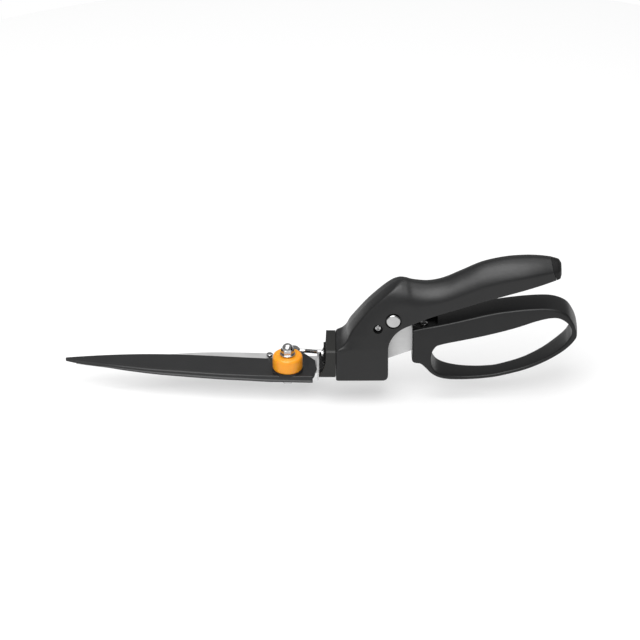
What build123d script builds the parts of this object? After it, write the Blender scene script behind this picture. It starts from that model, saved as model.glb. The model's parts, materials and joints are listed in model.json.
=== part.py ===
from build123d import *
import os
from math import cos, radians, sin

# Grass shears with a head that rotates about the handle. Millimetres.
# Origin: centre of the flat sole under the front of the handle. +X runs back along the grip,
# -X out to the blade tips, +Z is up and -Y is the user's left. The shears stand closed.

# ---- driving dimensions ----
wall = 2.5                      # plastic shell thickness
sole_half = 17.5                # from the middle of the sole to the front face, along X
block_half_width = 15.4         # half width of the front block
head_z = 12.9                   # height of the axis that the head turns about
head_gap = 0.3                  # slot between the handle and the turning head
front_x = -sole_half
block_back = 18.2               # rear face of the front block
collar_back = front_x - head_gap
collar_front = -29.2
collar_half_width = 15.4
collar_half_height = 10.6
collar_wall = 2.0

lever_x, lever_z = 21.6, 45.9   # lever pivot, axis along Y
lever_angle = radians(15)       # lever travel
drive_x = 11.0                  # arm pin at rest, on the height of the head's axis
drive_travel = (lever_x - drive_x) * (1 - cos(lever_angle)) - (lever_z - head_z) * sin(lever_angle)
drive_rise = (lever_x - drive_x) * sin(lever_angle) + (lever_z - head_z) * (1 - cos(lever_angle))
arm_half = 2.0                  # half thickness of the lever arm
rod_radius = 2.5

blade_x = -50.6                 # blade pivot, axis along Z
blade_angle = radians(28)       # blade opening
crank_radius = -drive_travel / (2 * sin(blade_angle / 2))
crank_x = blade_x + crank_radius * sin(blade_angle / 2)
crank_y = crank_radius * cos(blade_angle / 2)
blade_thickness = 2.0
moving_top = 0.7
moving_floor = moving_top - blade_thickness
fixed_top = moving_floor - 0.1
fixed_floor = fixed_top - blade_thickness
flange_depth, flange_thickness = 3.0, 1.6
knob_floor, knob_top, knob_radius = 1.8, 12.3, 10.3
sleeve_radius = 4.0
nut_top = 20.7

loop_half_width = 10.7
band_half_width = 6.9
pocket_floor = 36.3
loop_screw_x = 42.8

spring_x = 32.6                 # lever return spring, axis along Z
spring_floor, spring_roof = 47.4, 61.0
spring_radius = 2.4

# Grip sections: x, half width, floor, shoulder and crown.
grip_stations = [
    (18.0, 11.2, 40.5, 54.0, 63.6),
    (30.0, 12.0, 42.2, 57.5, 71.2),
    (46.0, 12.4, 47.5, 58.0, 69.5),
    (68.0, 12.6, 54.9, 65.4, 77.6),
    (97.0, 13.0, 64.5, 75.9, 88.0),
    (117.0, 11.4, 70.4, 80.6, 89.2),
    (129.0, 8.9, 73.9, 81.6, 88.2),
]
cap_station = (136.0, 6.2, 76.4, 81.6, 85.4)

case_screws = [(11.1, 39.8, -1), (62.0, 59.2, 1), (108.0, 75.4, 1)]   # x, z and side of the head


# ---- shared shapes ----
def bar(plane, centre, radius, length, mode=Mode.ADD):
    """Round bar or hole that starts on a plane and runs along its normal."""
    with BuildSketch(plane) as circle:
        with Locations(centre):
            Circle(radius)
    extrude(circle.sketch, amount=length, mode=mode)


def cross_bar(x, z, radius, low_y, high_y, mode=Mode.ADD):
    """Round bar or hole along Y."""
    bar(Plane.XZ.offset(-high_y), (x, z), radius, high_y - low_y, mode)


def upright(x, y, radius, low_z, high_z, mode=Mode.ADD):
    """Round bar or hole along Z."""
    bar(Plane.XY.offset(low_z), (x, y), radius, high_z - low_z, mode)


def axial(radius, low_x, high_x, y=0.0, z=head_z, mode=Mode.ADD):
    """Round bar or hole along X."""
    bar(Plane.YZ.offset(low_x), (y, z), radius, high_x - low_x, mode)


def block(low, high, mode=Mode.ADD):
    """Square-edged block between two corners."""
    middle_x, middle_y = (low[0] + high[0]) / 2, (low[1] + high[1]) / 2
    with BuildSketch(Plane.XY.offset(low[2])) as outline:
        with Locations((middle_x, middle_y)):
            Rectangle(high[0] - low[0], high[1] - low[1])
    extrude(outline.sketch, amount=high[2] - low[2], mode=mode)


def coil_spring(start, direction, length, radius, wire_radius, turns):
    """Round-wire helical spring from a start point along a direction."""
    with BuildPart() as spring:
        with BuildLine() as path:
            Helix(length / turns, length, radius, center=start, direction=direction)
        with BuildSketch(Plane(path.line @ 0, z_dir=path.line % 0)):
            Circle(wire_radius)
        sweep(path=path.wires()[0], is_frenet=True)
    return spring.part


def grip_section(station, inset=0.0):
    """D-shaped section of the grip: flat floor, upright sides and an arched crown."""
    x, half_width, floor, shoulder, crown = station
    half = half_width - inset
    with BuildSketch(Plane.YZ.offset(x)) as section:
        with BuildLine():
            Polyline((half, shoulder), (half, floor + inset), (-half, floor + inset), (-half, shoulder))
            ThreePointArc((-half, shoulder), (0, crown - inset), (half, shoulder))
        make_face()
    return section.sketch


def save(part, name):
    part.label = name
    export_step(part, f"parts/{name}.step")


os.makedirs("parts", exist_ok=True)

# ---- handle shells ----
with BuildPart() as housing:
    with BuildSketch(Plane.XZ):
        with BuildLine():
            Polyline((block_back, 25), (block_back, 3.5))
            RadiusArc((block_back, 3.5), (block_back - 3.5, 0), 3.5)
            Polyline((block_back - 3.5, 0), (front_x, 0), (front_x, 23.4))
            Spline((front_x, 23.4), (-13.2, 26.6), (-10.6, 30.6), (-8.7, 35.2), (3.3, 51.8), (12.8, 61.6),
                   (29.2, 72))
            Spline((29.2, 72), (38, 70), (46, 69.5))
            Line((46, 69.5), (46, 47.5))
            Spline((46, 47.5), (34.5, 42.4), (25.6, 37.8), (20, 31), (block_back, 25))
        make_face()
    extrude(amount=block_half_width, both=True)
    # The sides lean in above the block, up to the narrow spine.
    with BuildSketch(Plane.YZ.offset(front_x)):
        Polygon(
            (-block_half_width, 0), (block_half_width, 0), (block_half_width, 25), (10.4, 62), (4.5, 72.5),
            (-4.5, 72.5), (-10.4, 62), (-block_half_width, 25), align=None,
        )
    extrude(amount=70, mode=Mode.INTERSECT)
    loft([grip_section(station) for station in grip_stations])

    # Chambers for the hub and for the drive, with the guide rib between them.
    block((front_x + wall, -12.9, wall), (-10.5, 12.9, 21.8), Mode.SUBTRACT)
    block((-7.5, -12.9, wall), (sole_half - wall, 12.9, 27), Mode.SUBTRACT)
    loft([grip_section(station, wall) for station in grip_stations[2:-1]], mode=Mode.SUBTRACT)

    # Channel in the middle that the lever arm swings in, and the spring's pocket.
    with BuildSketch(Plane.XZ):
        Polygon((-4, 6), (37.5, 6), (37.5, 48.3), (13.5, 48.3), (-4, 24), align=None)
        with Locations((lever_x, lever_z)):
            Circle(8.3)
    extrude(amount=2.6, both=True, mode=Mode.SUBTRACT)
    upright(spring_x, 0, 3.8, 40, spring_roof, Mode.SUBTRACT)

    # Round holes: hub, rod guide, detent, lever pin with its head recesses, and case screws.
    axial(7.1, front_x, front_x + wall, mode=Mode.SUBTRACT)
    axial(4.5, -10.5, -7.5, mode=Mode.SUBTRACT)
    axial(1.9, front_x, front_x + wall, y=10.8, mode=Mode.SUBTRACT)
    cross_bar(lever_x, lever_z, 3.0, -16, 16, Mode.SUBTRACT)
    for x, z, side in [(lever_x, lever_z, -1), (lever_x, lever_z, 1)]:
        cross_bar(x, z, 5.5, min(11 * side, 16 * side), max(11 * side, 16 * side), Mode.SUBTRACT)
    for x, z, side in case_screws:
        cross_bar(x, z, 1.3, min(-7 * side, 11 * side), max(-7 * side, 11 * side), Mode.SUBTRACT)
        cross_bar(x, z, 3.3, min(10.4 * side, 16 * side), max(10.4 * side, 16 * side), Mode.SUBTRACT)

with BuildPart() as housing_left:
    add(housing.part)
    split(bisect_by=Plane.XZ, keep=Keep.TOP)
save(housing_left.part, "housing_left")

with BuildPart() as housing_right:
    add(housing.part)
    split(bisect_by=Plane.XZ, keep=Keep.BOTTOM)
save(housing_right.part, "housing_right")

with BuildPart() as grip_end_cap:
    end_station = (grip_stations[-1][0] + 0.2,) + grip_stations[-1][1:]
    loft([grip_section(end_station), grip_section(cap_station)])
save(grip_end_cap.part, "grip_end_cap")

# ---- handle fasteners and fittings ----
with BuildPart() as lever_pin:
    cross_bar(lever_x, lever_z, 3.0, -11, 11)
    cross_bar(lever_x, lever_z, 4.8, -13.9, -11)
    fillet(lever_pin.edges().group_by(Axis.Y)[0], 0.9)
save(lever_pin.part, "lever_pin")

with BuildPart() as lever_pin_cap:
    cross_bar(lever_x, lever_z, 4.8, 11.0, 13.9)
    fillet(lever_pin_cap.edges().group_by(Axis.Y)[-1], 0.9)
save(lever_pin_cap.part, "lever_pin_cap")

with BuildPart() as housing_screws:
    for x, z, side in case_screws:
        cross_bar(x, z, 1.3, min(-7 * side, 10.4 * side), max(-7 * side, 10.4 * side))
        cross_bar(x, z, 2.3, min(10.4 * side, 12.3 * side), max(10.4 * side, 12.3 * side))
save(housing_screws.part, "housing_screws")

with BuildPart() as rod_guide:
    axial(4.5, -10.5, -7.5)
    axial(rod_radius + 0.05, -10.5, -7.5, mode=Mode.SUBTRACT)
save(rod_guide.part, "rod_guide")

detent_centre = (front_x + 1.65, 10.8, head_z)
with BuildPart() as detent_ball:
    with Locations(detent_centre):
        Sphere(1.8)
save(detent_ball.part, "detent_ball")

detent_spring = coil_spring((-13.7, 10.8, head_z), (1, 0, 0), 2.9, 1.3, 0.25, 4)
save(detent_spring, "detent_spring")

return_spring = coil_spring(
    (spring_x, 0, spring_floor + 0.6), (0, 0, 1), spring_roof - spring_floor - 1.2, spring_radius, 0.45, 6
)
save(return_spring, "return_spring")

# ---- lever ----
with BuildSketch(Plane.XZ) as arm_outline:
    Polygon(
        (6.9, 15), (15.6, 36), (15.6, 43), (21, 46.5), (35.6, 46.5), (35.6, 43.6), (34.4, 42.4),
        (34.4, 35.4), (46, 33.5), (46, 21.6), (13.2, 8.6), align=None,
    )
    with Locations((lever_x, lever_z)):
        Circle(7.5)
    with Locations((drive_x, head_z)):
        Circle(4.6)

with BuildPart() as lever_arm:
    extrude(arm_outline.sketch, amount=arm_half, both=True)
    cross_bar(lever_x, lever_z, 4.5, -5, 5, Mode.SUBTRACT)
    cross_bar(drive_x, head_z, 2.0, -5, 5, Mode.SUBTRACT)
    upright(loop_screw_x, 0, 1.3, 26, 40, Mode.SUBTRACT)
save(lever_arm.part, "lever_arm")

with BuildPart() as pivot_bush:
    cross_bar(lever_x, lever_z, 4.5, -2.3, 2.3)
    cross_bar(lever_x, lever_z, 3.05, -2.3, 2.3, Mode.SUBTRACT)
save(pivot_bush.part, "pivot_bush")

with BuildPart() as arm_pin:
    cross_bar(drive_x, head_z, 2.0, -6.2, 6.2)
save(arm_pin.part, "arm_pin")

with BuildPart() as spring_cup:
    upright(spring_x, 0, 2.9, 46.5, spring_floor)
    upright(spring_x, 0, 1.5, spring_floor, 49.5)
save(spring_cup.part, "spring_cup")

with BuildPart() as loop_screw:
    upright(loop_screw_x, 0, 1.3, 27, pocket_floor)
    upright(loop_screw_x, 0, 2.6, pocket_floor, pocket_floor + 1.6)
    fillet(loop_screw.edges().group_by(Axis.Z)[-1], 0.8)
save(loop_screw.part, "loop_screw")

with BuildPart() as loop_handle:
    with BuildSketch(Plane.XZ):
        with BuildLine():
            Line((34.8, 12.3), (34.8, 37.0))
            Spline((34.8, 37.0), (63.5, 43.5), (101, 52.3), (129, 54.2), (144, 43.2), (147, 32.5), (135.5, 18.6),
                   (111.6, 4.1), (77.5, -3.2), (59, -2.4), (47.4, 3.1), (41, 10.2), (34.8, 12.3))
        make_face()
        with BuildLine():
            Spline((47.6, 14.5), (51.6, 24.5), (70, 29.2), (97, 36.1), (128.6, 46.3), (141.6, 41), (142.4, 32.2),
                   (135.5, 22.5), (111.6, 7.1), (77.5, -0.4), (59, 0.8), (50.4, 4.2), periodic=True)
        make_face(mode=Mode.SUBTRACT)
    extrude(amount=loop_half_width, both=True)
    # The lower band is narrower than the bar above, and widens towards both ends.
    for side in (-1, 1):
        with BuildSketch(Plane.XY.offset(-6)) as waist:
            with BuildLine():
                Spline((50, side * 10.8), (77.5, side * 7.5), (94.5, side * band_half_width), (111.6, side * 7.6),
                       (131, side * 10.8))
                Polyline((131, side * 10.8), (131, side * 14), (50, side * 14), (50, side * 10.8))
            make_face()
        extrude(waist.sketch, amount=25.5, mode=Mode.SUBTRACT)
    block((34, -8, pocket_floor), (52, 8, 50), Mode.SUBTRACT)
    extrude(arm_outline.sketch, amount=arm_half, both=True, mode=Mode.SUBTRACT)
    upright(loop_screw_x, 0, 1.3, 27, 40, Mode.SUBTRACT)
save(loop_handle.part, "loop_handle")

# ---- drive through the head's axis ----
yoke_back, yoke_front = -22.3, -26.0
with BuildPart() as pull_rod:
    axial(rod_radius, yoke_back + 0.2, 4.0)
    axial(1.5, yoke_front - 0.2, yoke_back + 0.2)
    axial(rod_radius, yoke_front - 1.4, yoke_front - 0.2)
save(pull_rod.part, "pull_rod")

with BuildPart() as rod_clevis:
    block((2.5, -6.0, 8.3), (14.6, 6.0, 21.3))
    block((5.7, -2.3, 8.0), (15.0, 2.3, 22.0), Mode.SUBTRACT)
    with BuildSketch(Plane.XZ):
        with Locations((drive_x, head_z + drive_rise / 2)):
            SlotCenterToCenter(drive_rise, 4.5, rotation=90)
    extrude(amount=7, both=True, mode=Mode.SUBTRACT)
    axial(rod_radius, 2.5, 4.0, mode=Mode.SUBTRACT)
save(rod_clevis.part, "rod_clevis")

link_y, link_z = 7.0, 10.4
link_radius = 1.4
eye_low, eye_high = 4.2, 7.0
with BuildPart() as swivel_yoke:
    block((yoke_front, -4.5, 9.2), (yoke_back, 9.5, 16.6))
    axial(1.6, yoke_front, yoke_back, mode=Mode.SUBTRACT)
    block((yoke_front, -1.6, head_z), (yoke_back, 1.6, 17), Mode.SUBTRACT)
    axial(link_radius, yoke_front, yoke_back, y=link_y, z=link_z, mode=Mode.SUBTRACT)
save(swivel_yoke.part, "swivel_yoke")

with BuildPart() as drive_link:
    eye_z = (eye_low + eye_high) / 2
    with BuildLine() as link_path:
        FilletPolyline(
            (yoke_back, link_y, link_z), (-30.5, link_y, link_z), (-37.5, crank_y, eye_z),
            (crank_x + 3, crank_y, eye_z), radius=4,
        )
    with BuildSketch(Plane((yoke_back, link_y, link_z), z_dir=(-1, 0, 0))):
        Circle(link_radius)
    sweep(path=link_path.wires()[0])
    upright(crank_x, crank_y, 4.3, eye_low, eye_high)
    with BuildSketch(Plane.XY.offset(eye_low)) as eye_slot:
        with Locations((crank_x, (crank_y + crank_radius) / 2)):
            SlotCenterToCenter(crank_radius - crank_y, 4.3, rotation=90)
    extrude(eye_slot.sketch, amount=eye_high - eye_low, mode=Mode.SUBTRACT)
save(drive_link.part, "drive_link")

# ---- rotating head ----
tang_screw_y = (-5.6, 8.5)
collar_floor = head_z - collar_half_height
with BuildPart() as head_cover:
    with BuildSketch(Plane.YZ.offset(collar_front)):
        with Locations((0, head_z)):
            RectangleRounded(2 * collar_half_width, 2 * collar_half_height, 2.2)
    extrude(amount=collar_back - collar_front)
    with BuildSketch(Plane.YZ.offset(collar_front)):
        with Locations((0, head_z)):
            RectangleRounded(2 * (collar_half_width - collar_wall), 2 * (collar_half_height - collar_wall), 1)
    extrude(amount=collar_back - collar_wall - collar_front, mode=Mode.SUBTRACT)
    axial(7.0, collar_back - collar_wall, collar_back, mode=Mode.SUBTRACT)
    # The roof stops short of the floor, and the side walls flare forwards as they come down.
    with BuildSketch(Plane.XZ):
        with BuildLine():
            Polyline((collar_front, 3.6), (collar_front - 1, 3.6), (collar_front - 1, 24), (-24.2, 24),
                     (-24.6, 14.5))
            Spline((-24.6, 14.5), (-25.4, 11), (-27.2, 6.8), (collar_front, 3.6))
        make_face()
    extrude(amount=20, both=True, mode=Mode.SUBTRACT)
    for y in tang_screw_y:
        upright(-25, y, 1.5, collar_floor, collar_floor + collar_wall, Mode.SUBTRACT)
save(head_cover.part, "head_cover")

tang_low, tang_high = collar_floor + collar_wall, 6.4
ledge_top = 8.6
hub_face = collar_back - collar_wall
with BuildPart() as swivel_hub:
    block((hub_face - 2, -12.8, tang_low + 0.2), (hub_face, 12.8, 20.8))
    axial(7.0, hub_face, -11)
    block((-29.0, -12.8, tang_high), (hub_face - 2, 12.8, ledge_top))
    axial(rod_radius + 0.2, hub_face - 2, -11, mode=Mode.SUBTRACT)
    axial(7.5, -14.8, -13.6, mode=Mode.SUBTRACT)
    axial(6.3, -14.8, -13.6)
    axial(rod_radius + 0.2, -15, -13, mode=Mode.SUBTRACT)
    for y in tang_screw_y:
        upright(-25, y, 1.5, tang_high, ledge_top, Mode.SUBTRACT)
save(swivel_hub.part, "swivel_hub")

with BuildPart() as hub_ring:
    axial(8.5, -14.7, -13.7)
    axial(6.35, -14.7, -13.7, mode=Mode.SUBTRACT)
    block((-14.8, -4.5, head_z), (-13.6, 4.5, head_z + 9), Mode.SUBTRACT)
save(hub_ring.part, "hub_ring")

with BuildPart() as tang_screws:
    for y in tang_screw_y:
        upright(-25, y, 1.5, collar_floor, ledge_top)
        upright(-25, y, 2.6, collar_floor - 1.2, collar_floor)
save(tang_screws.part, "tang_screws")

# ---- blades ----
web_front, web_back = -30.4, -29.3
web_near, web_far = -8.2, 11.2
near_edge = [(-196, 11.4), (-164, 3.9), (-122, -3.5), (-68, -8.9)]   # the moving blade's folded edge
near_margin = 2.4                                                    # the fixed blade stays inside it
fixed_tip = (-196, 16.4)
stud_x, stud_y = -63.0, 17.6
with BuildPart() as fixed_blade:
    with BuildSketch(Plane.XY.offset(fixed_floor)):
        with BuildLine():
            Spline(*[(x, y + near_margin) for x, y in near_edge])
            Polyline((near_edge[-1][0], near_edge[-1][1] + near_margin), (-58, -6.8), (-47.6, -7.0),
                     (-31.2, 1.6), (web_front, 1.6), (web_front, web_near), (web_back, web_near),
                     (web_back, 21.5), (-61.5, 21.5), (-65.5, 25.2))
            Spline((-65.5, 25.2), (-95, 26.4), (-112, 26.0), (-130, 24.0), (-156, 20.2), fixed_tip)
            Line(fixed_tip, (near_edge[0][0], near_edge[0][1] + near_margin))
        make_face()
    extrude(amount=blade_thickness)
    # Web that steps up to the tang, which lies inside the head.
    block((web_front, web_near, fixed_floor), (web_back, web_far, tang_high))
    block((web_front, web_near, tang_low), (hub_face - 2, web_far, tang_high))
    upright(blade_x, 0, sleeve_radius, fixed_floor, fixed_top, Mode.SUBTRACT)
    upright(stud_x, stud_y, 1.5, fixed_floor, fixed_top, Mode.SUBTRACT)
    for y in tang_screw_y:
        upright(-25, y, 1.5, tang_low, tang_high, Mode.SUBTRACT)
save(fixed_blade.part, "fixed_blade")

with BuildPart() as stop_stud:
    upright(stud_x, stud_y, 1.5, fixed_floor, 1.0)
    upright(stud_x, stud_y, 2.3, 1.0, 2.8)
    fillet(stop_stud.edges().group_by(Axis.Z)[-1], 0.7)
save(stop_stud.part, "stop_stud")

with BuildPart() as moving_blade:
    with BuildSketch(Plane.XY.offset(moving_floor)):
        with BuildLine():
            Spline((-202.4, 14.1), *near_edge)
            Polyline(near_edge[-1], (-33.4, -9.9), (-32.3, -7.4), (-30.9, 1.6), (-31.8, 11.8), (-39.5, 22.0),
                     (-49.8, 22.0), (-57, 15.2), (-65.6, 14.5))
            Spline((-65.6, 14.5), (-99.6, 17.7), (-139, 20.4), (-190, 17.6), (-202.4, 15.9))
            ThreePointArc((-202.4, 15.9), (-203.2, 15.0), (-202.4, 14.1))
        make_face()
    extrude(amount=blade_thickness)
    # Stiffening flange under the near edge, tapering away towards the tip.
    with BuildSketch(Plane.XY.offset(moving_floor - flange_depth)):
        with BuildLine():
            Spline(*near_edge[1:])
            Polyline(near_edge[-1], (-33.4, -9.9), (-33.4, flange_thickness - 9.9),
                     (near_edge[-1][0], near_edge[-1][1] + flange_thickness))
            Spline(*[(x, y + flange_thickness) for x, y in reversed(near_edge[1:])])
            Line((near_edge[1][0], near_edge[1][1] + flange_thickness), near_edge[1])
        make_face()
    extrude(amount=flange_depth)
    with BuildSketch(Plane.XZ):
        Polygon((-170, moving_floor), (-150, moving_floor), (-62, moving_floor - flange_depth),
                (-62, moving_floor - 6), (-170, moving_floor - 6), align=None)
    extrude(amount=30, both=True, mode=Mode.SUBTRACT)
    upright(blade_x, 0, sleeve_radius + 0.05, moving_floor - 5, moving_top, Mode.SUBTRACT)
    upright(crank_x, crank_y, 2.0, moving_floor, moving_top, Mode.SUBTRACT)
save(moving_blade.part, "moving_blade")

with BuildPart() as crank_pin:
    upright(crank_x, crank_y, 2.0, moving_floor, 8.4)
    upright(crank_x, crank_y, 3.4, moving_top, 3.8)
save(crank_pin.part, "crank_pin")

with BuildPart() as crank_clip:
    upright(crank_x, crank_y, 3.4, 7.3, 8.0)
    upright(crank_x, crank_y, 2.0, 7.3, 8.0, Mode.SUBTRACT)
save(crank_clip.part, "crank_clip")

# ---- blade pivot and lock knob ----
bolt_head_top = fixed_floor - 1.3
with BuildPart() as pivot_bolt:
    with BuildSketch(Plane.XY.offset(bolt_head_top - 3.8)):
        with Locations((blade_x, 0)):
            RegularPolygon(4.0, 6, major_radius=False)
    extrude(amount=3.8)
    upright(blade_x, 0, 2.5, bolt_head_top, nut_top - 3.5)
save(pivot_bolt.part, "pivot_bolt")

with BuildPart() as wave_washer:
    upright(blade_x, 0, 5.6, bolt_head_top, fixed_floor)
    upright(blade_x, 0, 2.6, bolt_head_top, fixed_floor, Mode.SUBTRACT)
save(wave_washer.part, "wave_washer")

with BuildPart() as pivot_sleeve:
    upright(blade_x, 0, sleeve_radius, fixed_floor, knob_top + 0.1)
    upright(blade_x, 0, 2.5, fixed_floor, knob_top + 0.1, Mode.SUBTRACT)
save(pivot_sleeve.part, "pivot_sleeve")

with BuildPart() as lock_ring:
    upright(blade_x, 0, 10.6, moving_top + 0.1, knob_floor)
    with BuildSketch(Plane.XY.offset(moving_top + 0.1)):
        with Locations((blade_x, 0)):
            with PolarLocations(10.2, 2, start_angle=215, angular_range=30, endpoint=True):
                Circle(1.6)
    extrude(amount=knob_floor - moving_top - 0.1)
    upright(blade_x, 0, sleeve_radius + 0.05, 0, knob_floor, Mode.SUBTRACT)
save(lock_ring.part, "lock_ring")

with BuildPart() as lock_knob:
    upright(blade_x, 0, knob_radius, knob_floor, knob_top)
    fillet(lock_knob.edges().group_by(Axis.Z)[-1], 1.3)
    upright(blade_x, 0, sleeve_radius + 0.05, knob_floor, knob_top, Mode.SUBTRACT)
save(lock_knob.part, "lock_knob")

washer_top = knob_top + 1.1
dome_radius = 4.0
with BuildPart() as top_washer:
    upright(blade_x, 0, 5.25, knob_top + 0.1, washer_top)
    upright(blade_x, 0, 2.6, knob_top + 0.1, washer_top, Mode.SUBTRACT)
    fillet(top_washer.edges().filter_by(GeomType.CIRCLE).sort_by(SortBy.LENGTH)[-2:], 0.3)
save(top_washer.part, "top_washer")

with BuildPart() as dome_nut:
    with BuildSketch(Plane.XY.offset(washer_top)):
        with Locations((blade_x, 0)):
            RegularPolygon(4.0, 6, major_radius=False)
    extrude(amount=3.6)
    upright(blade_x, 0, dome_radius, washer_top, nut_top - dome_radius)
    with Locations((blade_x, 0, nut_top - dome_radius)):
        Sphere(dome_radius)
    upright(blade_x, 0, 2.5, washer_top - 1, nut_top - 3.5, Mode.SUBTRACT)
save(dome_nut.part, "dome_nut")
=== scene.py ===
import json
import math
import bmesh
import bpy
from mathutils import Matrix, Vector


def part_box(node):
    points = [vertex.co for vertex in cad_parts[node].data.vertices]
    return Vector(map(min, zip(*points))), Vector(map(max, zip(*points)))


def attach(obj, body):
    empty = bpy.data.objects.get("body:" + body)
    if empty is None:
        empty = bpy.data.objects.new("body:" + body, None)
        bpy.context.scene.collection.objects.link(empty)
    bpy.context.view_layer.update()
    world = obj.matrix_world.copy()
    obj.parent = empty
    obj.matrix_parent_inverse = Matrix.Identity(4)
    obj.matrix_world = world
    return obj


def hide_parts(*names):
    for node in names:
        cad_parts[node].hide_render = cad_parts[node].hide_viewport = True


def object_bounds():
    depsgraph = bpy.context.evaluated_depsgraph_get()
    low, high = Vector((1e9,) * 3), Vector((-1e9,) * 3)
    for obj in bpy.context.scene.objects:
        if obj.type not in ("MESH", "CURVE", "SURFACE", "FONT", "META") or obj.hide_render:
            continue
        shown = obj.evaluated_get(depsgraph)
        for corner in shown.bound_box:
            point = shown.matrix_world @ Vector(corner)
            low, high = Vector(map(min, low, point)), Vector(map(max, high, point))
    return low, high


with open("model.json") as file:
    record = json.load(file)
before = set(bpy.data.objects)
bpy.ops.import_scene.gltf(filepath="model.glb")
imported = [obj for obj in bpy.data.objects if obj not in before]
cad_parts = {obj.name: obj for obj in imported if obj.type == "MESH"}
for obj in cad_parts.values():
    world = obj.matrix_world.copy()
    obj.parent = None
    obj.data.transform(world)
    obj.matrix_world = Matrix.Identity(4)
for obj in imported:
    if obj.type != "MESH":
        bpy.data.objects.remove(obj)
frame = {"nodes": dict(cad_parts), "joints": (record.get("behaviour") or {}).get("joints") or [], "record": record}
cad_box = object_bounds()
MM = 0.001


# ---- places read from the frame ----
def joint_place(name):
    """A point on a joint's axis, in metres."""
    return Vector(next(j["pos_m"] for j in frame["joints"] if j["name"] == name))


def middle(node):
    low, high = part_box(node)
    return (low + high) / 2


pivot = joint_place("lever_hinge")
blade_axis = joint_place("blade_hinge")
head_axis = joint_place("head_turn")
# Only this one is in millimetres: the top face of the moving blade.
blade_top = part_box("moving_blade")[1].z / MM
knob_low, knob_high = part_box("lock_knob")


# ---- mesh tools ----
def mesh_object(name, points, faces, sharp=32):
    """A mesh piece from points in millimetres, smooth except across edges sharper than an angle."""
    mesh = bpy.data.meshes.new(name)
    mesh.from_pydata([[c * MM for c in p] for p in points], [], faces)
    mesh.validate()
    shape = bmesh.new()
    shape.from_mesh(mesh)
    bmesh.ops.recalc_face_normals(shape, faces=shape.faces)
    shape.to_mesh(mesh)
    shape.free()
    piece = bpy.data.objects.new(name, mesh)
    bpy.context.scene.collection.objects.link(piece)
    shade(piece, sharp)
    return piece


def shade(piece, sharp):
    piece.data.shade_smooth()
    piece.data.set_sharp_from_angle(angle=math.radians(sharp))


def apply_modifiers(piece, sharp):
    graph = bpy.context.evaluated_depsgraph_get()
    baked = bpy.data.meshes.new_from_object(piece.evaluated_get(graph))
    piece.modifiers.clear()
    piece.data = baked
    shade(piece, sharp)


def cut(piece, *cutters, sharp=32):
    """Takes closed shapes out of a piece, for good."""
    for cutter in cutters:
        modifier = piece.modifiers.new("cut", "BOOLEAN")
        modifier.object = cutter
        modifier.operation = "DIFFERENCE"
        modifier.solver = "EXACT"
    apply_modifiers(piece, sharp)
    for cutter in cutters:
        bpy.data.objects.remove(cutter)


def grid_faces(rows, ring, closed_rows=False):
    """Quads between rings of points; a ring always closes on itself."""
    faces = []
    for i in range(rows if closed_rows else rows - 1):
        for k in range(ring):
            a, b = i * ring + k, i * ring + (k + 1) % ring
            c, d = ((i + 1) % rows) * ring + (k + 1) % ring, ((i + 1) % rows) * ring + k
            faces.append((a, b, c, d))
    return faces


def ring_solid(name, points, ring, sharp=32, mirrored=False):
    """Closed solid from rings of points, with a flat face on the first ring and on the last.

    A mirrored solid has the corners of its faces in reverse order.
    """
    faces = grid_faces(len(points) // ring, ring)
    faces.append(tuple(range(ring - 1, -1, -1)))
    faces.append(tuple(range(len(points) - ring, len(points))))
    if mirrored:
        faces = [tuple(reversed(face)) for face in faces]
    return mesh_object(name, points, faces, sharp)


def lathe(name, centre, axis, profile, segments=48, sharp=32):
    """Turned piece: profile is (radius, height) in millimetres along an axis, from end to end."""
    axis = Vector(axis).normalized()
    side = axis.orthogonal().normalized()
    other = axis.cross(side)
    points = []
    for radius, height in profile:
        for k in range(segments):
            a = 2 * math.pi * k / segments
            out = side * math.cos(a) + other * math.sin(a)
            points.append(Vector(centre) / MM + axis * height + out * radius)
    return ring_solid(name, points, segments, sharp)


def prism(name, outline, low_y, high_y):
    """Closed prism along Y from an outline of (x, z) in millimetres."""
    points = [(x, y, z) for y in (low_y, high_y) for x, z in outline]
    return ring_solid(name, points, len(outline))


def smooth_rows(rows, steps, closed=False):
    """Catmull-Rom curve through rows of numbers."""
    result = []
    count = len(rows)
    for i in range(count if closed else count - 1):
        if closed:
            p = [rows[(i + d) % count] for d in (-1, 0, 1, 2)]
        else:
            p = [rows[min(max(i + d, 0), count - 1)] for d in (-1, 0, 1, 2)]
        for step in range(steps):
            t = step / steps
            result.append([
                0.5 * (2 * b + (c - a) * t + (2 * a - 5 * b + 4 * c - d) * t * t
                       + (3 * b - a - 3 * c + d) * t ** 3)
                for a, b, c, d in zip(*p)
            ])
    if not closed:
        result.append(list(rows[-1]))
    return result


# ---- materials ----
def grey(value):
    return (value, value, value, 1)


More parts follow.
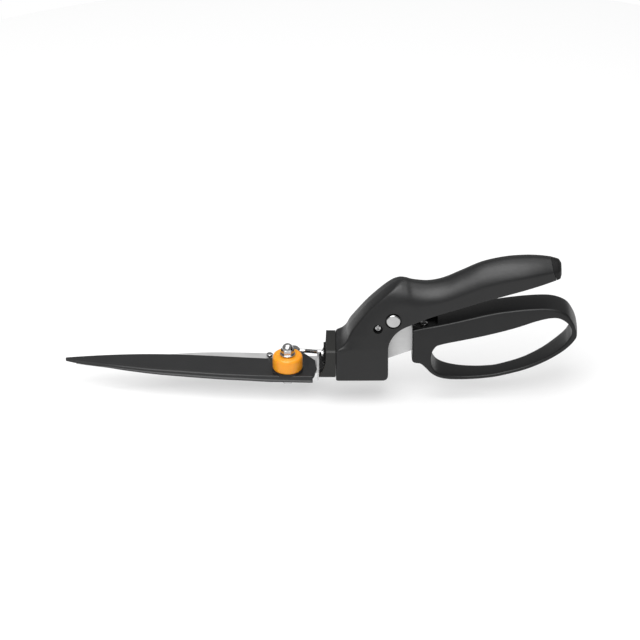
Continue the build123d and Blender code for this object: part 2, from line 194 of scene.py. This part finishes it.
class Nodes:
    """Short names for building a material's nodes."""

    def __init__(self, name):
        self.material = bpy.data.materials.new(name)
        self.material.use_nodes = True
        self.tree = self.material.node_tree
        self.shader = self.tree.nodes["Principled BSDF"]
        self.place = self.add("ShaderNodeTexCoord").outputs["Object"]

    def add(self, kind, **values):
        node = self.tree.nodes.new(kind)
        for key, value in values.items():
            if hasattr(node, key):
                setattr(node, key, value)
            else:
                node.inputs[key.replace("_", " ")].default_value = value
        return node

    def link(self, source, target):
        self.tree.links.new(source, target)

    def noise(self, scale, detail=3.0, stretch=(1, 1, 1), roughness=0.55):
        mapping = self.add("ShaderNodeMapping")
        mapping.inputs["Scale"].default_value = stretch
        self.link(self.place, mapping.inputs["Vector"])
        texture = self.add("ShaderNodeTexNoise", Scale=scale, Detail=detail, Roughness=roughness)
        self.link(mapping.outputs["Vector"], texture.inputs["Vector"])
        return texture.outputs["Fac"]

    def ramp(self, source, low, high, dark, light):
        """Maps the part of a pattern from low to high to a range of numbers."""
        node = self.add("ShaderNodeValToRGB")
        node.color_ramp.elements[0].position = low
        node.color_ramp.elements[1].position = high
        node.color_ramp.elements[0].color = grey(dark)
        node.color_ramp.elements[1].color = grey(light)
        self.link(source, node.inputs["Fac"])
        return node.outputs["Color"]

    def mix(self, factor, a, b):
        node = self.add("ShaderNodeMix", data_type="RGBA")
        colours = [s for s in node.inputs if s.type == "RGBA"]
        for socket, value in ((node.inputs[0], factor), (colours[0], a), (colours[1], b)):
            if hasattr(value, "is_linked"):
                self.link(value, socket)
            else:
                socket.default_value = value
        return next(s for s in node.outputs if s.type == "RGBA")

    def bump(self, *layers, edge=0.0):
        """Stacks height patterns, each (source, strength, distance in metres), over rounded edges."""
        normal = None
        if edge:
            bevel = self.add("ShaderNodeBevel", samples=6)
            bevel.inputs["Radius"].default_value = edge
            normal = bevel.outputs["Normal"]
        for source, strength, distance in layers:
            node = self.add("ShaderNodeBump", Strength=strength, Distance=distance)
            self.link(source, node.inputs["Height"])
            if normal:
                self.link(normal, node.inputs["Normal"])
            normal = node.outputs["Normal"]
        self.link(normal, self.shader.inputs["Normal"])

    def edge_highlight(self, edge=0.0):
        """Painted highlight: colour lighter on convex edges, standing in for the light that rounded edges catch.
        """
        geometry = self.add("ShaderNodeNewGeometry")
        if not edge:
            return self.ramp(geometry.outputs["Pointiness"], 0.53, 0.62, 0.0, 1.0)
        bevel = self.add("ShaderNodeBevel", samples=6)
        bevel.inputs["Radius"].default_value = edge
        match = self.add("ShaderNodeVectorMath", operation="DOT_PRODUCT")
        self.link(bevel.outputs["Normal"], match.inputs[0])
        self.link(geometry.outputs["Normal"], match.inputs[1])
        return self.ramp(match.outputs["Value"], 0.80, 0.97, 1.0, 0.0)


def plastic(name, dark, light, rough=(0.42, 0.58), grain=1.0, edge=0.0, specular=0.36):
    """Moulded plastic: eggshell grain, faint flow marks, and a painted highlight that makes edges a little
    lighter.
    """
    n = Nodes(name)
    broad = n.noise(38, 3)
    fine = n.noise(2600, 2)
    speck = n.noise(900, 4)
    base = n.mix(n.ramp(broad, 0.3, 0.7, 0.0, 1.0), dark, light)
    # Painted highlight: edges take a lighter copy of the light colour, for light caught on rounded edges.
    painted_highlight = tuple(min(1.0, c * 1.3 + 0.01) for c in light[:3]) + (1.0,)
    base = n.mix(n.edge_highlight(edge), base, painted_highlight)
    n.link(base, n.shader.inputs["Base Color"])
    n.link(n.ramp(speck, 0.3, 0.75, rough[0], rough[1]), n.shader.inputs["Roughness"])
    n.shader.inputs["Specular IOR Level"].default_value = specular
    n.bump((fine, 0.22 * grain, 0.00012), (speck, 0.10 * grain, 0.0002), edge=edge)
    return n.material


def steel(name, dark, light, rough, stretch=(0.06, 1, 1), streak=0.25, edge=0.0002, scale=1500, metal=1.0):
    """Metal with fine grinding lines, cloudy stains and small scratches."""
    n = Nodes(name)
    lines = n.noise(scale, 4, stretch)
    cloud = n.noise(55, 4)
    scratch = n.noise(700, 6, (0.3, 1.6, 1), 0.7)
    base = n.mix(n.ramp(cloud, 0.3, 0.75, 0.0, 1.0), dark, light)
    n.link(base, n.shader.inputs["Base Color"])
    n.link(n.ramp(lines, 0.3, 0.7, rough[0], rough[1]), n.shader.inputs["Roughness"])
    n.shader.inputs["Metallic"].default_value = metal
    n.bump((lines, streak, 0.00004), (scratch, streak * 0.5, 0.00003), edge=edge)
    return n.material


handle_black = plastic(
    "handle_black", (0.0050, 0.0051, 0.0053, 1), (0.0068, 0.0069, 0.0072, 1), rough=(0.34, 0.46))
loop_black = plastic(
    "loop_black", (0.0036, 0.0037, 0.0039, 1), (0.0052, 0.0053, 0.0056, 1),
    rough=(0.36, 0.48), specular=0.32)
collar_black = plastic(
    "collar_black", (0.0070, 0.0070, 0.0062, 1), (0.0092, 0.0092, 0.0082, 1), edge=0.0005)
cap_black = plastic(
    "cap_black", (0.0030, 0.0030, 0.0031, 1), (0.0042, 0.0042, 0.0044, 1),
    rough=(0.45, 0.58), specular=0.24)
nylon_black = plastic(
    "nylon_black", (0.0035, 0.0035, 0.0035, 1), (0.0050, 0.0050, 0.0052, 1), edge=0.0003, specular=0.2)
blade_black = plastic(
    "blade_black", (0.0105, 0.0106, 0.0110, 1), (0.0135, 0.0137, 0.0142, 1),
    rough=(0.36, 0.48), grain=0.5, edge=0.0003, specular=0.34)
knob_orange = plastic(
    "knob_orange", (0.62, 0.225, 0.008, 1), (0.68, 0.270, 0.012, 1),
    rough=(0.30, 0.40), grain=0.6, specular=0.4)
knob_shader = knob_orange.node_tree.nodes["Principled BSDF"]
knob_shader.inputs["Subsurface Weight"].default_value = 0.25
knob_shader.inputs["Subsurface Scale"].default_value = 0.0015
ground_steel = steel("ground_steel", grey(0.46), grey(0.56), (0.36, 0.50), stretch=(1, 0.05, 1), metal=0.5)
arm_grey = steel("arm_grey", grey(0.55), grey(0.64), (0.46, 0.60), streak=0.12, edge=0.0006)
bright_steel = steel(
    "bright_steel", grey(0.40), grey(0.50), (0.14, 0.24),
    stretch=(1, 1, 1), streak=0.10, edge=0.0003, scale=900)
spring_grey = steel("spring_grey", grey(0.36), grey(0.48), (0.25, 0.38), edge=0.0)
SLOT_MATERIALS = {
    "handle_plastic": handle_black, "loop_plastic": loop_black, "collar_plastic": collar_black,
    "cap_plastic": cap_black, "nylon": nylon_black, "knob_plastic": knob_orange,
    "blade_coating": blade_black, "blade_steel": ground_steel, "arm_metal": arm_grey,
    "plated_steel": bright_steel, "spring_steel": spring_grey,
}


def finish_piece(piece, body, slot, *nodes):
    """Gives a new piece its material, its body and the CAD nodes it stands for."""
    piece.data.materials.clear()
    piece.data.materials.append(SLOT_MATERIALS[slot])
    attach(piece, body)
    if nodes:
        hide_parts(*nodes)


# The CAD's own meshes get the materials of their slots.
for part in frame["record"]["subparts"]:
    node = frame["nodes"][part["node"]]
    node.data.materials.clear()
    node.data.materials.append(SLOT_MATERIALS[part["material_slot"]])


# ---- handle shells ----
# Each station is a slice of the handle: the point on its front or top edge (x, z), the point on its rear or
# under edge (x, z), half width at the crease, drop of the crease, half width of the side, height of the
# shoulder as a share of the slice, half width at the rear, how far the slice has turned from a creased
# front (0) into a dome (1), and the dome's sweep in degrees.
HANDLE = [
    (-16.8, 0.0, 14.4, 0.0, 14.6, 0.0, 14.6, 0.5, 14.5, 0.0, 88),
    (-17.25, 0.25, 16.2, 0.4, 15.15, 0.0, 15.15, 0.5, 15.1, 0.0, 88),
    (-17.5, 0.9, 17.5, 1.5, 15.4, 0.0, 15.4, 0.5, 15.4, 0.0, 88),
    (-17.5, 3.6, 18.2, 4.0, 15.4, 0.0, 15.4, 0.5, 15.4, 0.0, 88),
    (-17.5, 12.0, 18.2, 12.0, 15.4, 0.0, 15.4, 0.5, 15.4, 0.0, 88),
    (-17.5, 20.5, 18.2, 20.5, 15.4, 0.0, 15.4, 0.5, 15.4, 0.0, 88),
    (-17.45, 23.6, 18.3, 24.6, 15.1, 0.1, 15.4, 0.5, 15.4, 0.0, 88),
    (-13.6, 26.4, 18.7, 27.6, 14.1, 0.4, 15.1, 0.5, 15.1, 0.0, 88),
    (-10.8, 30.4, 19.5, 30.2, 13.0, 0.7, 14.7, 0.5, 14.8, 0.0, 88),
    (-8.9, 35.0, 20.8, 32.6, 12.2, 0.9, 14.3, 0.5, 14.4, 0.0, 88),
    (-5.3, 40.7, 22.4, 34.9, 11.2, 1.0, 13.8, 0.5, 14.0, 0.0, 88),
    (3.1, 51.8, 24.6, 37.0, 10.0, 1.0, 13.1, 0.5, 13.5, 0.0, 88),
    (12.7, 61.6, 27.4, 39.0, 9.6, 1.0, 12.7, 0.5, 13.0, 0.0, 88),
    (20.1, 68.1, 30.0, 40.4, 8.8, 1.0, 12.5, 0.5, 12.8, 0.1, 88),
    (25.2, 71.5, 32.8, 41.6, 7.0, 0.9, 12.4, 0.48, 12.6, 0.45, 86),
    (29.4, 72.1, 35.5, 42.8, 5.0, 0.8, 12.4, 0.45, 12.5, 0.85, 84),
    (34.8, 70.6, 39.0, 44.4, 4.0, 0.8, 12.4, 0.43, 12.5, 1.0, 82),
    (45.5, 69.5, 45.5, 47.3, 4.0, 0.8, 12.4, 0.46, 12.4, 1.0, 80),
    (56.0, 71.9, 56.0, 51.1, 4.0, 0.8, 12.5, 0.46, 12.2, 1.0, 70),
    (68.0, 77.8, 68.0, 54.9, 4.0, 0.8, 12.6, 0.46, 12.0, 1.0, 64),
    (82.0, 84.6, 82.0, 59.7, 4.0, 0.8, 12.8, 0.47, 11.9, 1.0, 59),
    (97.0, 88.3, 97.2, 64.5, 4.0, 0.8, 12.9, 0.48, 11.8, 1.0, 56),
    (110.0, 89.5, 111.5, 68.7, 4.0, 0.8, 12.3, 0.48, 11.2, 1.0, 55),
    (120.0, 89.4, 123.0, 72.1, 4.0, 0.8, 10.8, 0.48, 9.9, 1.0, 55),
    (128.6, 88.4, 132.2, 74.8, 4.0, 0.8, 8.9, 0.50, 8.0, 1.0, 55),
]
CAP = [
    (128.9, 88.15, 132.5, 74.9, 4.0, 0.8, 8.8, 0.50, 7.9, 1.0, 55),
    (132.6, 87.1, 134.5, 75.4, 4.0, 0.8, 7.9, 0.50, 7.0, 1.0, 58),
    (134.0, 86.3, 135.2, 75.9, 4.0, 0.8, 7.1, 0.50, 6.3, 1.0, 66),
    (135.7, 83.8, 135.9, 78.0, 3.0, 0.5, 4.6, 0.50, 4.2, 1.0, 66),
]
# Shares of the way along each stretch of half a slice, closer together towards the corners.
BAND = (0.0, 0.3, 0.55, 0.75, 0.88, 0.95, 1.0)
FLANK = (0.03, 0.08, 0.16, 0.26, 0.38, 0.50, 0.62, 0.74, 0.84, 0.92, 0.97, 1.0)
LOWER = (0.04, 0.12, 0.3, 0.5, 0.7, 0.84, 0.93, 0.975, 1.0)
UNDER = (0.06, 0.14, 0.3, 0.55, 0.8, 1.0)
# Half of the gap between the two sides, and how often the corners of a slice are eased.
SEAM = 0.05
EASE_PASSES = 3
# Exponents: how full the creased flank bulges, and how the points spread over the dome.
FLANK_BULGE, DOME_SPREAD = 0.9, 1.05
# Rows made between two stations, and the angle from which the shells' edges stay sharp, in degrees.
SHELL_STEPS, CAP_STEPS, SHELL_SHARP = 6, 5, 38


def half_slice(station, side):
    """Half of one slice: front band, flank, lower side and rear face, from seam to seam."""
    fx, fz, rx, rz, crease, drop, width, shoulder, rear, dome, sweep = station
    front, back = Vector((fx, 0, fz)), Vector((rx, 0, rz))
    depth = (front - back).length
    crease_at = 1 - drop / depth
    creased = [(crease * f, 1 - drop / depth * f * f) for f in BAND]
    for f in FLANK:
        bulge = math.sin(f * math.pi / 2) ** FLANK_BULGE
        creased.append((crease + (width - crease) * bulge, crease_at + (shoulder - crease_at) * f))
    upper = len(creased)
    top_angle = math.radians(sweep)
    rounded = []
    for k in range(upper):
        a = top_angle * (k / (upper - 1)) ** DOME_SPREAD
        rise = (math.cos(a) - math.cos(top_angle)) / (1 - math.cos(top_angle))
        rounded.append((width * math.sin(a) / math.sin(top_angle), shoulder + (1 - shoulder) * rise))
    outline = [
        tuple(c * (1 - dome) + r * dome for c, r in zip(p, q)) for p, q in zip(creased, rounded)
    ]
    outline += [(width + (rear - width) * f, shoulder * (1 - f)) for f in LOWER]
    outline += [(rear * (1 - f), 0.0) for f in UNDER]
    # Corners are eased by averaging neighbours where the points stand close together.
    for _ in range(EASE_PASSES):
        eased = list(outline)
        for k in range(1, len(outline) - 1):
            before, here, after = outline[k - 1], outline[k], outline[k + 1]
            eased[k] = tuple(0.25 * a + 0.5 * b + 0.25 * c for a, b, c in zip(before, here, after))
        outline = eased
    points = []
    for y, share in outline:
        p = back + (front - back) * share
        points.append((p.x, side * max(y, SEAM), p.z))
    return points


def handle_half(name, stations, side, steps):
    """One side of the handle as a closed solid with a flat joint face on the middle plane."""
    slices = [half_slice(station, side) for station in smooth_rows(stations, steps)]
    points = [point for one in slices for point in one]
    return ring_solid(name, points, len(slices[0]), SHELL_SHARP, mirrored=side > 0)


# Recesses for the lever pin and the case screws: radius and depth of the seat from the middle plane.
PIN_RECESS, PIN_SEAT = 5.7, 11.2
SCREW_RECESS, SCREW_SEAT = 3.3, 10.4
# A distance from the middle plane that is outside the handle everywhere.
OUTSIDE = 17
# Case screws, (x, z), that are driven in from the left side and from the right side.
NEAR_SCREWS = [(11.1, 39.8)]
FAR_SCREWS = [(62.0, 59.2), (108.0, 75.4)]
# Half width of the room for the lever arm.
ARM_HALF_ROOM = 2.6
# Room for the ring that holds the swivel: radius, and where it starts and ends along X.
RING_ROOM = (9, -14.9, -13.5)


def recess(x, z, radius, seat, side):
    """Round cutter across the handle, from a seat to the outside."""
    ends = sorted((seat * side, OUTSIDE * side))
    return lathe("recess", (x * MM, 0, z * MM), (0, 1, 0), [(radius, y) for y in ends], segments=40)


def arm_channel():
    """Space that the lever arm swings in, open below and behind."""
    outline = [(-4, 6), (37.5, 6), (37.5, 48.3), (30, 54), (13.5, 54), (-4, 24)]
    return prism("channel", outline, -ARM_HALF_ROOM, ARM_HALF_ROOM)


def ring_room():
    """Space that the swivel's ring turns in, at the front of the handle."""
    radius, start, end = RING_ROOM
    profile = [(radius, start), (radius, end)]
    return lathe("ring_room", (0, 0, head_axis.z), (1, 0, 0), profile, segments=40)


def handle_shell(side, node, screw_places):
    """Outer shell that stands for one of the CAD's housing halves; side is -1 for left and 1 for right."""
    shell = handle_half(node + "_shell", HANDLE, side, SHELL_STEPS)
    cutters = [arm_channel(), recess(pivot.x / MM, pivot.z / MM, PIN_RECESS, PIN_SEAT, side)]
    cutters += [recess(x, z, SCREW_RECESS, SCREW_SEAT, side) for x, z in screw_places]
    cutters.append(ring_room())
    cut(shell, *cutters, sharp=SHELL_SHARP)
    finish_piece(shell, "handle", "handle_plastic", node)


def joined(name, pieces):
    """Several meshes as one piece."""
    points, faces = [], []
    for piece in pieces:
        start = len(points)
        points += [v.co / MM for v in piece.data.vertices]
        faces += [tuple(start + v for v in f.vertices) for f in piece.data.polygons]
        bpy.data.objects.remove(piece)
    return mesh_object(name, points, faces, sharp=30)


def end_plug():
    """Plug in the rear end of the grip, from two halves."""
    halves = [handle_half("cap_half", CAP, side, CAP_STEPS) for side in (-1, 1)]
    finish_piece(joined("end_plug", halves), "handle", "cap_plastic", "grip_end_cap")


handle_shell(-1, "housing_left", NEAR_SCREWS)
handle_shell(1, "housing_right", FAR_SCREWS)
end_plug()


# ---- finger loop ----
# Stations round the opening: outer (x, z), inner (x, z) and half width.
LOOP = [
    (34.8, 12.3, 47.4, 12.4, 10.7), (34.8, 18.0, 47.6, 16.0, 10.7), (34.8, 26.0, 48.6, 20.4, 10.7),
    (34.8, 34.0, 50.4, 23.4, 10.7), (34.85, 36.8, 51.6, 24.5, 10.7), (35.5, 37.3, 52.4, 24.9, 10.7),
    (42.0, 38.9, 55.2, 25.8, 10.7), (51.0, 40.7, 59.6, 26.9, 10.7), (63.5, 43.6, 70.0, 29.2, 10.7),
    (76.0, 46.9, 82.0, 32.0, 10.7), (88.0, 50.0, 95.0, 35.5, 10.7), (101.0, 52.3, 107.0, 39.3, 10.7),
    (117.0, 54.0, 119.0, 43.8, 10.7), (130.0, 53.8, 128.6, 46.3, 10.7), (139.4, 49.9, 135.2, 45.9, 10.7),
    (144.1, 43.1, 141.0, 41.6, 10.7), (146.5, 36.4, 143.3, 36.9, 10.7), (146.8, 32.0, 142.9, 33.0, 10.7),
    (145.1, 28.5, 141.3, 30.0, 10.7), (141.5, 24.0, 138.9, 26.2, 10.6), (135.5, 18.6, 133.2, 20.6, 10.3),
    (125.3, 11.2, 123.4, 13.4, 8.9), (111.6, 4.1, 109.8, 6.4, 7.6), (94.5, -1.2, 93.6, 1.4, 6.9),
    (85.5, -2.6, 85.2, 0.1, 7.1), (77.5, -3.2, 77.5, -0.4, 7.5), (68.0, -3.2, 68.4, -0.3, 8.2),
    (59.0, -2.4, 60.4, 0.6, 9.2), (52.4, -0.3, 54.8, 2.0, 10.1), (47.4, 3.1, 51.0, 4.3, 10.6),
    (43.6, 7.5, 48.6, 7.9, 10.7), (39.6, 11.1, 47.7, 10.4, 10.7),
]
LOOP_STEPS, LOOP_SHARP = 5, 40
# Radius of the long edges, the most of the band's thickness that one may take, and the crown of each face.
LOOP_EDGE, LOOP_EDGE_SHARE = 1.5, 0.42
OUTER_CROWN, INNER_CROWN = 0.35, -0.2
# Half width of the slot that takes the lever arm.
ARM_HALF_SLOT = 2.05


def band_slice(station, corner_steps=5):
    """Slice of the loop between its outer and inner faces, with rounded edges and a slight crown."""
    ox, oz, ix, iz, half = station
    outer, inner = Vector((ox, 0, oz)), Vector((ix, 0, iz))
    depth = (outer - inner).length
    along = (outer - inner) / depth
    radius = min(LOOP_EDGE, depth * LOOP_EDGE_SHARE)
    # Each corner: y, height over the inner face, start angle, and the crown of the face that follows it.
    corners = [
        (half, depth, 0, OUTER_CROWN), (-half, depth, 90, None),
        (-half, 0, 180, INNER_CROWN), (half, 0, 270, None),
    ]
    points = []
    for y, height, start, crown in corners:
        centre_y, centre_height = y - math.copysign(radius, y), abs(height - radius)
        for k in range(corner_steps + 1):
            a = math.radians(start + 90 * k / corner_steps)
            at = inner + along * (centre_height + radius * math.sin(a))
            points.append((at.x, centre_y + radius * math.cos(a), at.z))
        if crown:
            for share in (0.25, 0.5, 0.75):
                at = inner + along * (height + math.sin(math.pi * share) * crown)
                points.append((at.x, math.copysign(half - radius, y) * (1 - 2 * share), at.z))
    return points


def finger_loop():
    """Closed band with the screw's open pocket on top and a slot for the lever arm in front."""
    slices = [band_slice(row) for row in smooth_rows(LOOP, LOOP_STEPS, closed=True)]
    points = [point for one in slices for point in one]
    faces = grid_faces(len(slices), len(slices[0]), closed_rows=True)
    loop = mesh_object("finger_loop", points, faces, LOOP_SHARP)
    pocket = prism("pocket", [(30, 36.3), (51, 36.3), (52, 37.3), (52, 50), (30, 50)], -8, 8)
    slot_outline = [(30, 15.6), (46.2, 21.4), (46.2, 34), (42, 36.4), (30, 36.4)]
    arm_slot = prism("arm_slot", slot_outline, -ARM_HALF_SLOT, ARM_HALF_SLOT)
    cut(loop, pocket, arm_slot, sharp=LOOP_SHARP)
    finish_piece(loop, "lever", "loop_plastic", "loop_handle")


finger_loop()


# ---- folded spine of the moving blade ----
# Points on the fold: x, y, rise of the bead, depth of the upright face and width of the lip at its foot.
SPINE = [
    (-196, 11.4, 0.03, 0.3, 0.1), (-180, 7.7, 0.15, 0.7, 0.5), (-164, 3.9, 0.28, 1.0, 0.9),
    (-143, -0.5, 0.38, 1.2, 1.1), (-122, -3.5, 0.42, 1.4, 1.2), (-96, -6.9, 0.36, 1.6, 1.2),
    (-80, -8.1, 0.22, 1.8, 1.2), (-68, -8.9, 0.06, 2.1, 1.15), (-50, -9.5, 0.05, 2.5, 1.1),
    (-33.9, -9.9, 0.05, 2.7, 1.1),
]
SPINE_STEPS, SPINE_SHARP = 8, 50
# How far the fold and the start of the lip stand out from the blade's own edge.
FOLD_OUT = 0.42


def spine_slice(row):
    """Bead along the fold, upright face, then a lip that slopes outward, as one closed ring."""
    x, y, rise, face, lip = row
    foot = -0.35 - face
    bead = [(3.3, -0.03), (2.9, rise * 0.5), (2.3, rise * 0.9), (1.6, rise), (0.9, rise * 0.85),
            (0.35, rise * 0.5 + 0.02), (-0.05, 0.03), (-0.32, -0.22)]
    upright = [(-FOLD_OUT, -0.5), (-0.4, foot + 0.3), (-FOLD_OUT, foot + 0.05)]
    # Points on the lip: shares of its width, outward and down.
    lip_shares = [(0.4, 0.3), (0.72, 0.68), (0.85, 1.0), (0.8, 1.25), (0.5, 1.4)]
    edge = [(-FOLD_OUT - lip * out, foot - lip * down) for out, down in lip_shares]
    inside = [(0.4, foot - lip * 1.4), (0.7, foot - lip * 1.2), (0.8, -0.9), (3.3, -0.5)]
    return [(x, y + dy, blade_top + dz) for dy, dz in bead + upright + edge + inside]


def blade_spine():
    slices = [spine_slice(row) for row in smooth_rows(SPINE, SPINE_STEPS)]
    points = [point for one in slices for point in one]
    spine = ring_solid("blade_spine", points, len(slices[0]), SPINE_SHARP)
    finish_piece(spine, "blade", "blade_coating")


blade_spine()


# ---- seal between collar and handle ----
# Half width and half height of the seal's straight sides, its corner radius, and its two faces along X.
SEAL_HALF_WIDTH, SEAL_HALF_HEIGHT, SEAL_CORNER = 12.6, 7.9, 2
SEAL_FACES = (-17.85, -17.58)


def head_seal():
    """Thin rounded plate that turns with the collar."""
    centre_z = middle("head_cover").z / MM
    outline = []
    for across, up, start in ((1, 1, 0), (-1, 1, 90), (-1, -1, 180), (1, -1, 270)):
        for a in (math.radians(start + 15 * k) for k in range(7)):
            y = across * SEAL_HALF_WIDTH + SEAL_CORNER * math.cos(a)
            outline.append((y, centre_z + up * SEAL_HALF_HEIGHT + SEAL_CORNER * math.sin(a)))
    points = [(x, y, z) for x in SEAL_FACES for y, z in outline]
    finish_piece(ring_solid("head_seal", points, len(outline)), "head", "cap_plastic")


head_seal()


# ---- knob and screws ----
def lock_knob():
    """Turned knob with a rounded shoulder and a shallow seat for the washer on top."""
    tall = (knob_high.z - knob_low.z) / MM
    profile = [
        (4.2, 0.0), (9.0, 0.0), (9.75, 0.12), (10.05, 0.5), (10.25, 1.1), (10.3, 1.6), (10.3, tall - 2.6),
        (10.2, tall - 1.6), (9.9, tall - 0.85), (9.45, tall - 0.35), (8.9, tall - 0.08), (8.2, tall),
        (6.9, tall), (6.5, tall - 0.1), (6.3, tall - 0.3), (5.8, tall - 0.35), (4.2, tall - 0.35),
    ]
    knob = lathe("knob", (blade_axis.x, 0, knob_low.z), (0, 0, 1), profile, segments=96, sharp=40)
    finish_piece(knob, "lock", "knob_plastic", "lock_knob")


def screw_head(name, centre, axis, radius, tall, shank):
    """Pan head with a cross recess on a plain shank; centre is the middle of the head's seat."""
    profile = [
        (1.2, -shank), (1.3, -0.3), (radius * 0.97, 0.0), (radius, 0.15), (radius, tall * 0.5),
        (radius * 0.93, tall * 0.78), (radius * 0.74, tall * 0.95), (radius * 0.4, tall), (0.25, tall),
    ]
    head = lathe(name, centre, axis, profile, segments=36)
    direction = Vector(axis)
    side = direction.orthogonal().normalized()
    other = direction.cross(side)
    # The cross: half width of an arm, then its reach at its floor and above the head, with the heights.
    half_arm = radius * 0.13
    arm_ends = ((radius * 0.42, tall * 0.35), (radius * 0.62, tall + 0.3))
    box_faces = [(0, 1, 3, 2), (4, 6, 7, 5), (0, 4, 5, 1), (2, 3, 7, 6), (0, 2, 6, 4), (1, 5, 7, 3)]
    cutters = []
    for a, b in ((side, other), (other, side)):
        points = []
        for i in (-1, 1):
            for j in (-1, 1):
                for reach, height in arm_ends:
                    across = a * reach * i + b * half_arm * j
                    points.append(Vector(centre) / MM + across + direction * height)
        cutters.append(mesh_object("cross", points, box_faces))
    cut(head, *cutters)
    return head


# Screw heads: radius, height, shank, and where the head's seat stands along the screw.
CASE_SCREW_RADIUS, CASE_SCREW_SHANK = 2.3, 2
NEAR_SCREW_Y, NEAR_SCREW_TALL = -10.8, 1.6
FAR_SCREW_Y, FAR_SCREW_TALL = 10.6, 1.3
LOOP_SCREW_RADIUS, LOOP_SCREW_SHANK = 2.6, 3
LOOP_SCREW_Z, LOOP_SCREW_TALL = 36.3, 1.7


def case_screws():
    """Three heads; the near one stands for the CAD's node, which holds all three screws."""
    for x, z in NEAR_SCREWS:
        near = screw_head("case_screw_near", (x * MM, NEAR_SCREW_Y * MM, z * MM), (0, -1, 0),
                          CASE_SCREW_RADIUS, NEAR_SCREW_TALL, CASE_SCREW_SHANK)
        finish_piece(near, "handle", "plated_steel", "housing_screws")
    for number, (x, z) in enumerate(FAR_SCREWS):
        far = screw_head(f"case_screw_far_{number}", (x * MM, FAR_SCREW_Y * MM, z * MM), (0, 1, 0),
                         CASE_SCREW_RADIUS, FAR_SCREW_TALL, CASE_SCREW_SHANK)
        finish_piece(far, "handle", "plated_steel")


def loop_screw():
    """Head that stands in the pocket of the finger loop."""
    head = screw_head("loop_screw_head", (middle("loop_screw").x, 0, LOOP_SCREW_Z * MM), (0, 0, 1),
                      LOOP_SCREW_RADIUS, LOOP_SCREW_TALL, LOOP_SCREW_SHANK)
    finish_piece(head, "lever", "plated_steel", "loop_screw")


lock_knob()
case_screws()
loop_screw()


# ---- floor, light and camera ----
# The floor is low enough for the open finger loop. Its radius is in millimetres.
FLOOR_Z = cad_box[0].z - 12 * MM
FLOOR_RADIUS, FLOOR_SIDES = 620, 96
# What the lights point at, and what the camera looks at, in metres.
LIT_POINT = (0.02, 0, 0.03)
VIEW_POINT = (-0.0284, 0, 0.0395)
VIEW_ELEVATION, VIEW_DISTANCE, VIEW_LENS = 30, 4.856, 400
# Strength of the surroundings: as the camera sees them, and as they light the object.
WHITE_ROOM, DIM_ROOM = 1.0, 0.32


def plain_floor():
    angles = [2 * math.pi * k / FLOOR_SIDES for k in range(FLOOR_SIDES)]
    points = [(FLOOR_RADIUS * math.cos(a), FLOOR_RADIUS * math.sin(a), FLOOR_Z / MM) for a in angles]
    floor = mesh_object("floor", points, [tuple(range(FLOOR_SIDES))])
    n = Nodes("floor_white")
    n.shader.inputs["Base Color"].default_value = grey(0.45)
    n.shader.inputs["Roughness"].default_value = 0.9
    n.shader.inputs["Emission Color"].default_value = grey(1)
    n.shader.inputs["Emission Strength"].default_value = 0.42
    floor.data.materials.append(n.material)


def area_light(name, place, size, power):
    light = bpy.data.lights.new(name, "AREA")
    light.shape = "RECTANGLE"
    light.size, light.size_y = size
    light.energy = power
    lamp = bpy.data.objects.new(name, light)
    lamp.location = place
    lamp.rotation_euler = (Vector(LIT_POINT) - Vector(place)).to_track_quat("-Z", "Y").to_euler()
    bpy.context.scene.collection.objects.link(lamp)


def studio_room():
    """The camera sees white past the floor; the object sees a dim room."""
    world = bpy.data.worlds.new("studio")
    bpy.context.scene.world = world
    world.use_nodes = True
    tree = world.node_tree
    room = tree.nodes["Background"]
    room.inputs["Color"].default_value = grey(1)
    sight = tree.nodes.new("ShaderNodeLightPath")
    strength = tree.nodes.new("ShaderNodeMapRange")
    strength.inputs["To Min"].default_value = DIM_ROOM
    strength.inputs["To Max"].default_value = WHITE_ROOM
    tree.links.new(sight.outputs["Is Camera Ray"], strength.inputs["Value"])
    tree.links.new(strength.outputs["Result"], room.inputs["Strength"])
    bpy.context.scene.view_settings.view_transform = "Standard"


def studio_camera():
    elevation = math.radians(VIEW_ELEVATION)
    away = Vector((0, -math.cos(elevation), math.sin(elevation)))
    lens = bpy.data.cameras.new("camera")
    lens.lens = VIEW_LENS
    lens.sensor_width = 36
    lens.clip_end = 20
    camera = bpy.data.objects.new("camera", lens)
    camera.location = Vector(VIEW_POINT) + away * VIEW_DISTANCE
    camera.rotation_euler = (math.pi / 2 - elevation, 0, 0)
    bpy.context.scene.collection.objects.link(camera)
    bpy.context.scene.camera = camera


plain_floor()
area_light("key", (-0.25, -0.85, 1.15), (1.2, 1.3), 30)
area_light("top", (0.0, 0.15, 1.5), (1.8, 1.2), 14)
studio_room()
studio_camera()

bpy.context.view_layer.update()
